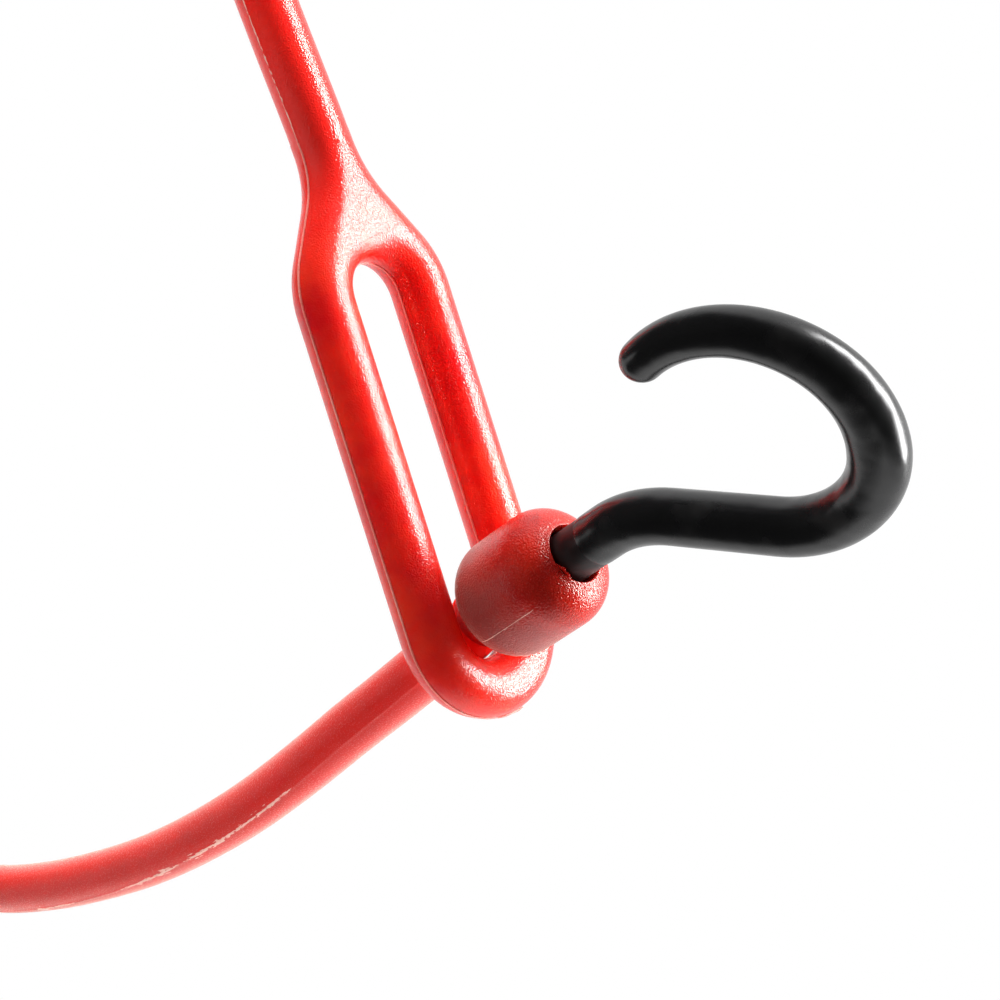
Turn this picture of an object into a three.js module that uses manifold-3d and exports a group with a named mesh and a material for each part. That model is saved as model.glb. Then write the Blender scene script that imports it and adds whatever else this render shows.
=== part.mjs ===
// A moulded bungee cord with a slotted loop at one end and a swivelling hook at the other.
// The hook end is buttoned through the loop's slot, so that the cord hangs as a ring on a peg.
// Millimetres, +Z up. The ring hangs in the XZ plane, with its origin where the peg carries it:
// the underside of the cord's top bend.
import * as THREE from 'three';
import { mergeVertices } from 'three/addons/utils/BufferGeometryUtils.js';
import { ParametricGeometry } from 'three/addons/geometries/ParametricGeometry.js';
import Module from 'manifold-3d';

const wasm = await Module();
wasm.setup();

const radians = THREE.MathUtils.degToRad;

// Cord
const CORD_DIAMETER = 9.2;
const CORD_SIDES = 12;
const CORD_STEPS = 30;
const FACE_GAP = 0.3;
const LEAD_LENGTH = 3;

// Loop end: a flat moulding with round edges, drawn from its toe towards the cord
const LEG_DIAMETER = 9;
const LEG_CREST = 0.5;
const PARTING_LAND = 0.4;
const SLOT_WIDTH = 11.2;
const SLOT_LENGTH = 62.7;
const SHOULDER_RISE = 4.5;
const SHOULDER_SLOPE = radians(34);
const SHOULDER_RADIUS = 16;
const NECK_RADIUS = 16;
const NECK_STUB = 1.5;
const EDGE_SEGMENTS = 5;
const OUTLINE_SEGMENTS = 7;

// Bulb: the stop at the cord's far end, with a socket for the hook's head
const BULB_DIAMETER = 18.8;
const BULB_LENGTH = 21;
const BULB_REAR_RADIUS = 5;
const BULB_FRONT_RADIUS = 5.9;
const BULB_NECK_LENGTH = 2.4;
const LIP_DEPTH = 4.5;
const BULB_SEGMENTS = 32;
const ROUND_STEPS = 6;

// Hook: a bent rod on a round shank, held in the bulb by a flat head
const HEAD_DIAMETER = 12;
const HEAD_LENGTH = 4;
const SHANK_DIAMETER = 8.1;
const COLLAR_LENGTH = 4.6;
const ROD_DIAMETER = 8;
const CROWN_DIAMETER = 8.7;
const TIP_DIAMETER = 6.2;
const TURNING_GAP = 0.3;
const HOOK_LEAD = 7.7;
const OFFSET_RADIUS = 15;
const OFFSET_BEND = radians(-41.4);
const OFFSET_RUN = 15.2;
const CROWN_RADIUS = 15;
const CROWN_BEND = radians(89.8);
const ARCH_RADIUS = 18.5;
const ARCH_BEND = radians(84.3);
const TIP_RADIUS = 16.9;
const TIP_BEND = radians(65);
const ROD_SIDES = 16;
const ROD_STEP = 2.6;

// Where the cord's middle line crosses the loop's middle plane, and how the two ends hang there
const CROSSING = new THREE.Vector3(84.9, 0, -123.3);
const LOOP_LEAN = radians(23.8);
const BULB_RISE = radians(37.3);
const HOOK_TURN = radians(33);
const TOE_GAP = 1.1;
const SEAT_GAP = 0.35;

// The free run of the cord as X and Z, from the loop over the peg and round to the bulb
const CORD_ROUTE = [
  [44.7, -37.7], [38.8, -26.7], [32.8, -15], [24.4, -4.5], [13, 2.2],
  [0, 4.6], [-14.5, 2.5], [-28, -4.3], [-40.5, -14.5], [-52, -28], [-63, -44.5],
  [-73, -62.5], [-82, -82], [-90, -103], [-96.8, -125], [-101.5, -147.5], [-103, -169],
  [-98.5, -188], [-88, -202], [-74, -209.3], [-57, -210.6], [-39.5, -207], [-23.7, -201.4],
  [-8.4, -194.5], [6.1, -186.9], [20, -178.2], [33.2, -168.7], [45.8, -158.4], [57.7, -148],
  [69, -137.9],
];

const cordRadius = CORD_DIAMETER / 2;
const legRadius = LEG_DIAMETER / 2;
const legSpacing = SLOT_WIDTH + LEG_DIAMETER;
const bulbRadius = BULB_DIAMETER / 2;
const shankRadius = SHANK_DIAMETER / 2;
const headRadius = HEAD_DIAMETER / 2;
const boreRadius = shankRadius + TURNING_GAP;

// Directions of the loop: along it from the toe to the neck, across its legs, and out of its face
const loopAlong = new THREE.Vector3(-Math.sin(LOOP_LEAN), 0, Math.cos(LOOP_LEAN));
const loopAcross = new THREE.Vector3(0, 1, 0);
const loopFace = loopAcross.clone().cross(loopAlong);

// Directions of the bulb: along its axis towards the hook, and up across it in the ring's plane
const bulbAxis = new THREE.Vector3(Math.cos(BULB_RISE), 0, Math.sin(BULB_RISE));
const bulbUp = new THREE.Vector3(-Math.sin(BULB_RISE), 0, Math.cos(BULB_RISE));

const rubber = new THREE.MeshStandardMaterial({ color: 0xd81e1c, roughness: 0.42, metalness: 0 });
const nylon = new THREE.MeshStandardMaterial({ color: 0x141414, roughness: 0.28, metalness: 0 });

/** Turns a closed geometry into a solid that can be cut. */
function solidFrom(geometry) {
  const bare = geometry.clone();
  bare.deleteAttribute('normal');
  bare.deleteAttribute('uv');
  const merged = mergeVertices(bare, 1e-5);
  return new wasm.Manifold(new wasm.Mesh({
    numProp: 3,
    vertProperties: new Float32Array(merged.attributes.position.array),
    triVerts: new Uint32Array(merged.index.array),
  }));
}

/** Turns a cut solid back into a geometry. */
function geometryFrom(solid) {
  const mesh = solid.getMesh();
  const geometry = new THREE.BufferGeometry();
  geometry.setAttribute('position', new THREE.BufferAttribute(mesh.vertProperties, mesh.numProp));
  geometry.setIndex(new THREE.BufferAttribute(mesh.triVerts, 1));
  geometry.computeVertexNormals();
  return geometry;
}

/** Points on an arc about (x, y), from one angle to another, both ends included. */
function arcPoints(x, y, radius, from, to) {
  const points = [];
  for (let i = 0; i <= ROUND_STEPS; i += 1) {
    const angle = from + ((to - from) * i) / ROUND_STEPS;
    points.push(new THREE.Vector2(x + radius * Math.cos(angle), y + radius * Math.sin(angle)));
  }
  return points;
}

// Heights along the loop, from the toe's outer edge at 0
const toeRound = SLOT_WIDTH / 2 + LEG_DIAMETER;
const slotFoot = toeRound;
const slotHead = LEG_DIAMETER + SLOT_LENGTH - SLOT_WIDTH / 2;
const shoulderHeight = slotHead + SHOULDER_RISE;
const neckHeight = shoulderHeight + (toeRound - legRadius) / Math.tan(SHOULDER_SLOPE);
const neckTangent = NECK_RADIUS * Math.tan(SHOULDER_SLOPE / 2);
const loopEndHeight = neckHeight + neckTangent + NECK_STUB;

// The cord lies at the toe end of the slot, TOE_GAP clear of the toe
const cordTilt = bulbAxis.angleTo(loopFace);
const crossingHeight = legRadius + (legRadius + cordRadius + TOE_GAP) / Math.cos(cordTilt);

/** The loop's outline, which runs past its end face by `extra` so that the end can be cut square. */
function loopOutline(extra) {
  const slope = SHOULDER_SLOPE;
  const shoulderTangent = SHOULDER_RADIUS * Math.tan(slope / 2);
  const shoulderX = toeRound - SHOULDER_RADIUS;
  const shoulderY = shoulderHeight - shoulderTangent;
  const neckX = legRadius + NECK_RADIUS;
  const neckY = neckHeight + neckTangent;
  const top = loopEndHeight + extra;
  const outline = new THREE.Shape();
  outline.moveTo(legRadius, top);
  outline.lineTo(-legRadius, top);
  outline.absarc(-neckX, neckY, NECK_RADIUS, 0, -slope, true);
  outline.absarc(-shoulderX, shoulderY, SHOULDER_RADIUS, Math.PI - slope, Math.PI, false);
  outline.absarc(0, toeRound, toeRound, Math.PI, 2 * Math.PI, false);
  outline.absarc(shoulderX, shoulderY, SHOULDER_RADIUS, 0, slope, false);
  outline.absarc(neckX, neckY, NECK_RADIUS, Math.PI + slope, Math.PI, true);
  outline.closePath();

  const slot = new THREE.Path();
  slot.absarc(0, slotFoot, SLOT_WIDTH / 2, Math.PI, 2 * Math.PI, false);
  slot.absarc(0, slotHead, SLOT_WIDTH / 2, 0, Math.PI, false);
  slot.closePath();
  outline.holes.push(slot);
  return outline;
}

/** The loop end: two round legs, a rounded toe and a flat web that runs down into the cord. */
function makeLoopEnd() {
  const roundOver = (LEG_DIAMETER - LEG_CREST) / 2;
  const moulding = new THREE.ExtrudeGeometry(loopOutline(LEG_DIAMETER), {
    depth: PARTING_LAND,
    bevelEnabled: true,
    bevelThickness: (LEG_DIAMETER - PARTING_LAND) / 2,
    bevelSize: roundOver,
    bevelOffset: -roundOver,
    bevelSegments: EDGE_SEGMENTS,
    curveSegments: OUTLINE_SEGMENTS,
  });
  moulding.translate(0, 0, -PARTING_LAND / 2);

  const overhang = new THREE.BoxGeometry(2 * toeRound, 2 * LEG_DIAMETER, 2 * LEG_DIAMETER);
  overhang.translate(0, loopEndHeight + LEG_DIAMETER, 0);
  const squared = solidFrom(moulding).subtract(solidFrom(overhang));

  const mesh = new THREE.Mesh(geometryFrom(squared), rubber);
  mesh.name = 'loop_end';
  mesh.position.set(0, -crossingHeight, 0);
  return mesh;
}

/** The rear shoulder of the bulb as radius and distance from its rear plane. */
function rearShoulder() {
  const arc = arcPoints(bulbRadius - BULB_REAR_RADIUS, BULB_REAR_RADIUS, BULB_REAR_RADIUS, -Math.PI / 2, 0);
  return arc.filter((point) => point.x > cordRadius);
}

/**
 * How far along its axis the bulb's rear plane sits from the crossing, when its shoulder rests
 * SEAT_GAP clear of both legs.
 */
function seatDistance() {
  const reach = legRadius + SEAT_GAP;
  const axisAcross = bulbAxis.dot(loopAcross);
  const axisOut = bulbAxis.dot(loopFace);
  const speed = axisAcross ** 2 + axisOut ** 2;
  let seat = 0;
  for (const point of rearShoulder()) {
    for (let i = 0; i < BULB_SEGMENTS; i += 1) {
      const spot = bulbUp.clone().multiplyScalar(point.x);
      spot.applyAxisAngle(bulbAxis, (2 * Math.PI * i) / BULB_SEGMENTS);
      spot.addScaledVector(bulbAxis, point.y);
      for (const side of [-1, 1]) {
        const across = spot.dot(loopAcross) - (side * legSpacing) / 2;
        const out = spot.dot(loopFace);
        const closing = (across * axisAcross + out * axisOut) / speed;
        const inside = closing ** 2 - (across ** 2 + out ** 2 - reach ** 2) / speed;
        if (inside > 0) {
          seat = Math.max(seat, Math.sqrt(inside) - closing);
        }
      }
    }
  }
  return seat;
}

// Distances along the bulb's axis from the crossing
const bulbRear = seatDistance();
const bulbNeckEnd = bulbRear - BULB_NECK_LENGTH;
const bulbMouth = bulbRear + BULB_LENGTH;
const socketTop = bulbMouth - LIP_DEPTH;
const headTop = socketTop - TURNING_GAP;
const headFoot = headTop - HEAD_LENGTH;
const socketFoot = headFoot - TURNING_GAP;

/** The bulb: a fat round stop on a short neck, hollowed for the hook's head and shank. */
function makeBulb() {
  const frontCentre = bulbRadius - BULB_FRONT_RADIUS;
  const front = arcPoints(frontCentre, bulbMouth - BULB_FRONT_RADIUS, BULB_FRONT_RADIUS, 0, Math.PI / 2);
  const shoulder = rearShoulder().map((point) => new THREE.Vector2(point.x, bulbRear + point.y));
  const profile = [
    new THREE.Vector2(0, bulbNeckEnd),
    new THREE.Vector2(cordRadius, bulbNeckEnd),
    new THREE.Vector2(cordRadius, bulbRear),
    ...shoulder,
    ...front.filter((point) => point.x > boreRadius),
    new THREE.Vector2(boreRadius, bulbMouth),
    new THREE.Vector2(boreRadius, socketTop),
    new THREE.Vector2(headRadius + TURNING_GAP, socketTop),
    new THREE.Vector2(headRadius + TURNING_GAP, socketFoot),
    new THREE.Vector2(0, socketFoot),
  ];
  const mesh = new THREE.Mesh(new THREE.LatheGeometry(profile, BULB_SEGMENTS), rubber);
  mesh.name = 'bulb';
  return mesh;
}

/** A flat line of straight runs and arcs that leaves the origin along +Y and bends in the XY plane. */
class BentLine {
  constructor(stretches) {
    this.stretches = stretches;
    this.length = stretches.reduce((sum, stretch) => sum + stretch.length, 0);
  }

  static run(length) {
    return { length, bend: 0 };
  }

  static arc(radius, bend) {
    return { length: radius * Math.abs(bend), bend };
  }

  /** The point at a distance along the line, and the direction square to the line there. */
  at(distance) {
    const point = new THREE.Vector2(0, 0);
    let heading = 0;
    let left = distance;
    for (const { length, bend } of this.stretches) {
      const travel = Math.min(left, length);
      const turn = (bend * travel) / length;
      const chord = turn === 0 ? travel : (2 * length * Math.sin(turn / 2)) / bend;
      point.x += chord * Math.sin(heading + turn / 2);
      point.y += chord * Math.cos(heading + turn / 2);
      heading += turn;
      left -= travel;
    }
    return { point, side: new THREE.Vector2(Math.cos(heading), -Math.sin(heading)) };
  }
}

/** The hook's stations as distance along its line and radius, from its head to its rounded tip. */
function hookStations(line) {
  const collarEnd = bulbMouth - headFoot + COLLAR_LENGTH;
  const crown = bulbMouth - headFoot + HOOK_LEAD + OFFSET_RADIUS * -OFFSET_BEND + OFFSET_RUN
    + CROWN_RADIUS * CROWN_BEND;
  const tipRadius = TIP_DIAMETER / 2;
  const tipStart = line.length - tipRadius;
  const sizes = [
    [collarEnd, ROD_DIAMETER / 2],
    [crown, CROWN_DIAMETER / 2],
    [tipStart, tipRadius],
  ];
  const stations = [
    [0, 0], [0, headRadius], [HEAD_LENGTH, headRadius], [HEAD_LENGTH, shankRadius],
    [collarEnd, shankRadius],
  ];
  for (let i = 0; i + 1 < sizes.length; i += 1) {
    const [from, fromRadius] = sizes[i];
    const [to, toRadius] = sizes[i + 1];
    const steps = Math.round((to - from) / ROD_STEP);
    for (let step = i === 0 ? 0 : 1; step <= steps; step += 1) {
      const share = step / steps;
      stations.push([from + (to - from) * share, fromRadius + (toRadius - fromRadius) * share]);
    }
  }
  for (let step = 1; step <= ROUND_STEPS; step += 1) {
    const angle = (Math.PI / 2) * (step / ROUND_STEPS);
    const radius = step === ROUND_STEPS ? 0 : tipRadius * Math.cos(angle);
    stations.push([tipStart + tipRadius * Math.sin(angle), radius]);
  }
  return stations;
}

/** The hook: head, shank, offset bend, crown and tapered tip, swept round one bent line. */
function makeHook() {
  const line = new BentLine([
    BentLine.run(bulbMouth - headFoot + HOOK_LEAD),
    BentLine.arc(OFFSET_RADIUS, OFFSET_BEND),
    BentLine.run(OFFSET_RUN),
    BentLine.arc(CROWN_RADIUS, CROWN_BEND),
    BentLine.arc(ARCH_RADIUS, ARCH_BEND),
    BentLine.arc(TIP_RADIUS, TIP_BEND),
  ]);
  const stations = hookStations(line);
  const last = stations.length - 1;
  const surface = (along, around, target) => {
    const [distance, radius] = stations[Math.round(along * last)];
    const { point, side } = line.at(distance);
    const angle = 2 * Math.PI * (Math.round(around * ROD_SIDES) % ROD_SIDES) / ROD_SIDES;
    const sideways = radius * Math.cos(angle);
    target.set(point.x + side.x * sideways, point.y + side.y * sideways, radius * Math.sin(angle));
  };
  const mesh = new THREE.Mesh(new ParametricGeometry(surface, last, ROD_SIDES), nylon);
  mesh.name = 'hook';
  mesh.position.set(0, headFoot, 0);
  return mesh;
}

/** The cord: one round tube from the loop's end face over the peg to the bulb's neck. */
function makeCord() {
  const start = CROSSING.clone().addScaledVector(loopAlong, loopEndHeight - crossingHeight + FACE_GAP);
  const end = CROSSING.clone().addScaledVector(bulbAxis, bulbNeckEnd - FACE_GAP);
  const route = [
    start,
    start.clone().addScaledVector(loopAlong, LEAD_LENGTH),
    ...CORD_ROUTE.map(([x, z]) => new THREE.Vector3(x, 0, z)),
    end.clone().addScaledVector(bulbAxis, -LEAD_LENGTH),
    end,
  ];
  const section = new THREE.Shape();
  for (let i = 0; i < CORD_SIDES; i += 1) {
    const angle = (2 * Math.PI * i) / CORD_SIDES;
    const x = cordRadius * Math.cos(angle);
    const y = cordRadius * Math.sin(angle);
    if (i === 0) {
      section.moveTo(x, y);
    } else {
      section.lineTo(x, y);
    }
  }
  section.closePath();
  const tube = new THREE.ExtrudeGeometry(section, {
    steps: CORD_STEPS,
    bevelEnabled: false,
    extrudePath: new THREE.CatmullRomCurve3(route, false, 'centripetal'),
  });
  const mesh = new THREE.Mesh(tube, rubber);
  mesh.name = 'cord';
  return mesh;
}

const bungee = new THREE.Group();
bungee.add(makeCord());

const loop = new THREE.Group();
loop.position.copy(CROSSING);
loop.quaternion.setFromRotationMatrix(new THREE.Matrix4().makeBasis(loopAcross, loopAlong, loopFace));
loop.add(makeLoopEnd());
bungee.add(loop);

const toggle = new THREE.Group();
toggle.position.copy(CROSSING);
toggle.quaternion.setFromRotationMatrix(
  new THREE.Matrix4().makeBasis(bulbUp, bulbAxis, bulbUp.clone().cross(bulbAxis)),
);
toggle.add(makeBulb());
bungee.add(toggle);

const swivel = new THREE.Group();
swivel.rotation.y = HOOK_TURN;
swivel.add(makeHook());
toggle.add(swivel);

export default bungee;
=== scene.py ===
"""Dresses a moulded bungee cord that hangs as a closed ring.

The loop end, the cord, the bulb and the hook take the place of the frame's plain solids, and a
small studio with a tall softbox, three soft lamps and a bright wall lights them. Lengths are
metres in the frame's axes: +Z up, the ring in the XZ plane, -Y towards the viewer.
"""

import logging
import math
from bisect import bisect_left
from dataclasses import dataclass
from enum import Enum
from typing import Sequence

import bmesh
import bpy
from mathutils import Matrix, Vector, noise

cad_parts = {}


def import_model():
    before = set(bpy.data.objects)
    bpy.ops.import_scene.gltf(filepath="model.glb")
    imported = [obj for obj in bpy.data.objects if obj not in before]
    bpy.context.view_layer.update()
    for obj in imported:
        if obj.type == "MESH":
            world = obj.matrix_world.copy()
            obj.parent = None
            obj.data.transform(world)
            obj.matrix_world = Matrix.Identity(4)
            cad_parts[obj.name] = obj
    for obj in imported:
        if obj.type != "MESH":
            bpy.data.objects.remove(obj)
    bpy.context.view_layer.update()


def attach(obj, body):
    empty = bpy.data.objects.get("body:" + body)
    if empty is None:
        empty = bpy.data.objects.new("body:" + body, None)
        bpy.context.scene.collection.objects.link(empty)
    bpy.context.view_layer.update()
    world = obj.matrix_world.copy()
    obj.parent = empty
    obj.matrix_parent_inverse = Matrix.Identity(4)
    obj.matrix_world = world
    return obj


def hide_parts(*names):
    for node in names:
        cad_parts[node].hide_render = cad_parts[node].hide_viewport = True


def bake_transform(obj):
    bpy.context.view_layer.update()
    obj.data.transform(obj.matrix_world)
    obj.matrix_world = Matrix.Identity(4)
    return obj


MM = 0.001
MERGE = 1e-7
NOISE_RANGE = (0.3, 0.7)
CREASE = math.radians(50)
Colour = tuple[float, float, float, float]
Spot = tuple[float, float, float]
Pair = tuple[float, float]
Pairs = tuple[Pair, ...]
Piece = bpy.types.Object
Socket = bpy.types.NodeSocket
log = logging.getLogger("bungee")


class Body(Enum):
    """The frame's moving bodies."""

    LOOP = "loop"
    BULB = "bulb"
    HOOK = "hook"


class Pattern(Enum):
    """The coordinates that a finish lays its grain on."""

    OBJECT = "Object"
    UV = "UV"


class Slot(Enum):
    """Names of the material slots."""

    RED = "red_polyurethane"
    BLACK = "black_nylon"


# Shared lines and meshes


@dataclass(frozen=True)
class Hang:
    """How the two ends hang against each other where the cord crosses the loop."""

    crossing: Spot = (84.9 * MM, 0.0, -123.3 * MM)
    loop_lean: float = math.radians(23.8)
    bulb_rise: float = math.radians(37.3)
    hook_turn: float = math.radians(33)
    neck_bend: float = 0.7 * MM
    bend_run: float = 20.0 * MM

    @staticmethod
    def placed(x: Vector, y: Vector, z: Vector, origin: Vector) -> Matrix:
        """Builds the matrix of three axes and an origin.

        Args:
            x: First axis.
            y: Second axis.
            z: Third axis.
            origin: Where the axes meet.

        Returns:
            The matrix from the local axes to the frame.
        """
        turn = Matrix((x, y, z)).transposed().to_4x4()
        return Matrix.Translation(origin) @ turn

    def loop_along(self) -> Vector:
        """Direction along the loop, from its toe to its neck."""
        return Vector((-math.sin(self.loop_lean), 0, math.cos(self.loop_lean)))

    def loop_face(self) -> Vector:
        """Direction out of the loop's face."""
        return Vector((math.cos(self.loop_lean), 0, math.sin(self.loop_lean)))

    def neck_along(self) -> Vector:
        """Direction of the cord where it leaves the neck, which is bent back a little."""
        return (self.loop_along() - self.loop_face() * (2 * self.neck_bend / self.bend_run)).normalized()

    def bulb_axis(self) -> Vector:
        """Direction along the bulb's axis, towards the hook."""
        return Vector((math.cos(self.bulb_rise), 0, math.sin(self.bulb_rise)))

    def bulb_up(self) -> Vector:
        """Direction across the bulb's axis, upwards."""
        return Vector((-math.sin(self.bulb_rise), 0, math.cos(self.bulb_rise)))

    def loop_frame(self) -> Matrix:
        """Local axes of the loop: across its legs, along it, and out of its face."""
        return self.placed(Vector((0, 1, 0)), self.loop_along(), self.loop_face(), Vector(self.crossing))

    def bulb_frame(self) -> Matrix:
        """Local axes of the bulb: up across it, along its axis, and sideways."""
        return self.placed(self.bulb_up(), self.bulb_axis(), Vector((0, 1, 0)), Vector(self.crossing))

    def hook_frame(self) -> Matrix:
        """The bulb's axes, turned as the hook is turned in its socket."""
        return self.bulb_frame() @ Matrix.Rotation(self.hook_turn, 4, "Y")


HANG = Hang()


def flat_arc(centre: Pair, radius: float, start: float, stop: float, steps: int) -> list[Vector]:
    """Lists points on a flat arc.

    Args:
        centre: The arc's centre.
        radius: The arc's radius.
        start: First angle in radians.
        stop: Last angle in radians.
        steps: Number of steps between the two.

    Returns:
        Points from the first angle to the last, both included.
    """
    turns = [start + (stop - start) * i / steps for i in range(steps + 1)]
    return [Vector((centre[0] + radius * math.cos(a), centre[1] + radius * math.sin(a), 0)) for a in turns]


def round_section(radius: float, sides: int) -> list[Vector]:
    """Lists the corners of a round section."""
    return flat_arc((0, 0), radius, 0, 2 * math.pi * (sides - 1) / sides, sides - 1)


def waves(spot: Vector, octaves: Pairs) -> float:
    """Adds up noise at a spot, each octave with its scale and its share."""
    return sum(noise.noise(spot * scale) * share for scale, share in octaves)


def ramp(value: float, low: float, high: float) -> float:
    """Rises smoothly from 0 at low to 1 at high."""
    share = min(1.0, max(0.0, (value - low) / (high - low)))
    return share * share * (3 - 2 * share)


def between(value: float, stops: Sequence[Pair]) -> float:
    """Reads a line of straight pieces.

    Args:
        value: Where to read it.
        stops: Pairs of place and height, in order.

    Returns:
        The height at that place, held level past both ends.
    """
    if value <= stops[0][0]:
        return stops[0][1]
    for (x0, y0), (x1, y1) in zip(stops, stops[1:]):
        if value <= x1:
            return y0 + (y1 - y0) * (value - x0) / (x1 - x0)
    return stops[-1][1]


class Sweep:
    """A closed section that bmesh's extrude carries along a line of frames."""

    def __init__(self, section: Sequence[Vector]) -> None:
        """Starts the sweep.

        Args:
            section: The section's corners in its own plane.
        """
        self.mesh = bmesh.new()
        self.along = self.mesh.verts.layers.float.new("along")
        self.around = self.mesh.verts.layers.float.new("around")
        self.section = section

    def run(self, frames: Sequence[Matrix], places: Sequence[float]) -> "Sweep":
        """Carries the section through every frame and closes both ends.

        Args:
            frames: One matrix for each station, from the section's plane to the frame.
            places: The distance along the line of each station.

        Returns:
            The sweep itself.
        """
        ring = [self.mesh.verts.new(frames[0] @ corner) for corner in self.section]
        for index, vert in enumerate(ring):
            vert[self.along] = places[0]
            vert[self.around] = index / len(ring)
        edges = [self.mesh.edges.new(pair) for pair in zip(ring, ring[1:] + ring[:1])]
        self.mesh.faces.new(list(reversed(ring)))
        for before, after, place in zip(frames, frames[1:], places[1:]):
            made = bmesh.ops.extrude_edge_only(self.mesh, edges=edges)["geom"]
            verts = [item for item in made if isinstance(item, bmesh.types.BMVert)]
            fresh = set(verts)
            lines = [item for item in made if isinstance(item, bmesh.types.BMEdge)]
            edges = [edge for edge in lines if fresh.issuperset(edge.verts)]
            bmesh.ops.transform(self.mesh, matrix=after @ before.inverted(), verts=verts)
            for vert in verts:
                vert[self.along] = place
        bmesh.ops.contextual_create(self.mesh, geom=edges)
        return self

    def map_uv(self) -> None:
        """Lays a UV map: metres along the line, and turns around it."""
        uv = self.mesh.loops.layers.uv.new("UVMap")
        for face in self.mesh.faces:
            turns = [loop.vert[self.around] for loop in face.loops]
            wrapped = max(turns) - min(turns) > 0.5
            for loop, turn in zip(face.loops, turns):
                loop[uv].uv = (loop.vert[self.along], turn + 1 if wrapped and turn < 0.5 else turn)


def finish_mesh(name: str, mesh: bmesh.types.BMesh, place: Matrix | None = None) -> Piece:
    """Turns a bmesh into a smooth object at the origin.

    Args:
        name: The piece's name.
        mesh: The bmesh, which is freed.
        place: Where to carry it first, from its own axes to the frame's.

    Returns:
        The new object, linked to the scene.
    """
    if place is not None:
        bmesh.ops.transform(mesh, matrix=place, verts=mesh.verts[:])
    bmesh.ops.recalc_face_normals(mesh, faces=mesh.faces[:])
    for face in mesh.faces:
        face.smooth = True
    for edge in mesh.edges:
        edge.smooth = not edge.is_manifold or edge.calc_face_angle(0) < CREASE
    data = bpy.data.meshes.new(name)
    mesh.to_mesh(data)
    mesh.free()
    piece = bpy.data.objects.new(name, data)
    bpy.context.collection.objects.link(piece)
    return piece


def baked_mesh(source: Piece) -> bmesh.types.BMesh:
    """Reads an object's evaluated mesh into a bmesh and deletes the object.

    Args:
        source: A curve or a mesh object with modifiers.

    Returns:
        The evaluated mesh, with its doubles merged.
    """
    depsgraph = bpy.context.evaluated_depsgraph_get()
    evaluated = source.evaluated_get(depsgraph)
    data = bpy.data.meshes.new_from_object(evaluated, depsgraph=depsgraph)
    mesh = bmesh.new()
    mesh.from_mesh(data)
    bmesh.ops.remove_doubles(mesh, verts=mesh.verts[:], dist=MERGE)
    bpy.data.objects.remove(source)
    bpy.data.meshes.remove(data)
    return mesh


def dress(piece: Piece, body: Body | None, slot: Slot, *materials: bpy.types.Material) -> Piece:
    """Gives a piece its materials and its body.

    Args:
        piece: The piece.
        body: The body that it rides on, or None for a piece that rides on none of them.
        slot: Not used.
        materials: Its materials, in the order of its faces' material numbers.

    Returns:
        The piece.
    """
    for material in materials:
        piece.data.materials.append(material)
    if body is not None:
        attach(piece, body.value)
    log.info("%s: %d faces", piece.name, len(piece.data.polygons))
    return piece


# Finishes


class Board:
    """A node tree, with short calls to add nodes and to join them."""

    def __init__(self, tree: bpy.types.NodeTree) -> None:
        """Empties a node tree.

        Args:
            tree: The tree of a material or a world.
        """
        self.tree = tree
        tree.nodes.clear()

    def add(
        self, kind: str, settings: dict | None = None, numbered: dict | None = None, **named: object
    ) -> bpy.types.Node:
        """Adds a node.

        Args:
            kind: The node's type.
            settings: Properties to set on it.
            numbered: Inputs by number, each a value or a socket to link.
            named: Inputs by name, with spaces as underscores.

        Returns:
            The new node.
        """
        node = self.tree.nodes.new(kind)
        for key, value in (settings or {}).items():
            setattr(node, key, value)
        inputs = {key.replace("_", " "): value for key, value in named.items()} | (numbered or {})
        for key, value in inputs.items():
            if isinstance(value, Socket):
                self.tree.links.new(value, node.inputs[key])
            else:
                node.inputs[key].default_value = value
        return node

    def span(self, value: Socket, low: float, high: float, to_low: float, to_high: float) -> Socket:
        """Maps the range from low to high to another one, held at both ends."""
        limits = {"From_Min": low, "From_Max": high, "To_Min": to_low, "To_Max": to_high}
        return self.add("ShaderNodeMapRange", Value=value, **limits).outputs["Result"]

    def calc(self, kind: str, first: object, second: object = 0.0) -> Socket:
        """Joins two numbers with a math node of the given operation."""
        return self.add("ShaderNodeMath", {"operation": kind}, {0: first, 1: second}).outputs["Value"]

    def dot(self, first: Socket, second: Vector) -> Socket:
        """Measures how far one direction points along another."""
        node = self.add("ShaderNodeVectorMath", {"operation": "DOT_PRODUCT"}, {0: first, 1: second})
        return node.outputs["Value"]

    def mix(self, share: object, first: object, second: object) -> Socket:
        """Mixes two colours by the share of the second one."""
        return self.add("ShaderNodeMix", {"data_type": "RGBA"}, {0: share, 6: first, 7: second}).outputs[2]

    def speckle(self, where: Socket, scale: float, detail: float, rough: float = 0.5) -> Socket:
        """Adds noise from 0 to 1, with its scale in features per metre."""
        node = self.add("ShaderNodeTexNoise", Vector=where, Scale=scale, Detail=detail, Roughness=rough)
        return node.outputs["Fac"]

    def mark(self, name: str) -> Socket:
        """Reads a number that the mesh carries at its corners."""
        return self.add("ShaderNodeAttribute", {"attribute_name": name}).outputs["Fac"]


def new_material(name: str) -> tuple[bpy.types.Material, Board]:
    """Starts a node material.

    Args:
        name: Its name.

    Returns:
        The material and its empty board.
    """
    material = bpy.data.materials.new(name)
    material.use_nodes = True
    return material, Board(material.node_tree)


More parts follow.
